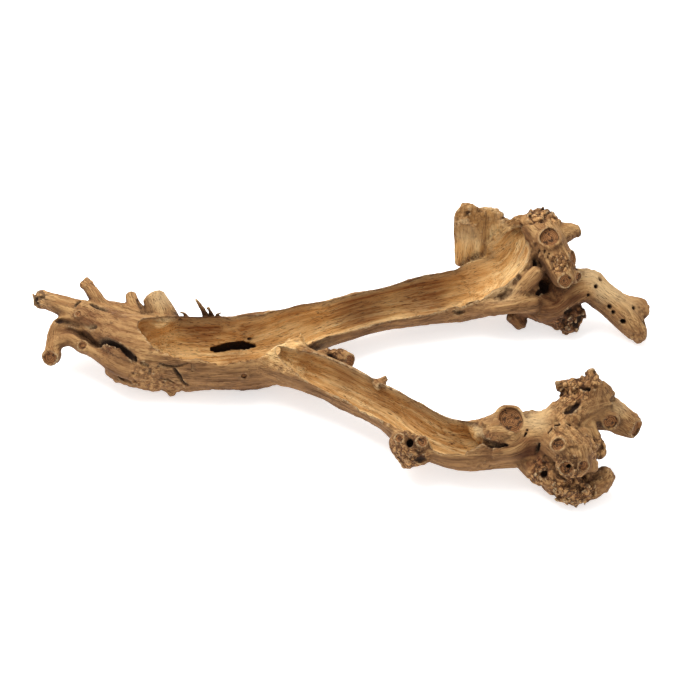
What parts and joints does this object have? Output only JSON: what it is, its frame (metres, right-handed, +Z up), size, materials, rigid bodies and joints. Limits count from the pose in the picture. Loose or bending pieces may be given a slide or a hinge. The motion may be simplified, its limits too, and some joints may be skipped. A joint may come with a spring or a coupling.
{
  "type": "dry root",
  "caption": "Dried forked root with a hollow trough down its trunk and both arms, a claw of broken roots at one end and a gnarled head on each arm.",
  "frame": {"origin": "on the surface the root lies on, under the middle of its bounding box", "axes": "+X from the claw of broken roots to the two heads, +Y to the back (the arm with the upright slab), +Z up"},
  "size_m": [0.7219, 0.3942, 0.1271],
  "materials": {
    "dry_wood": "matt, bare and weathered"
  },
  "bodies": {
    "root": {"root": "dry_wood"}
  },
  "joints": []
}
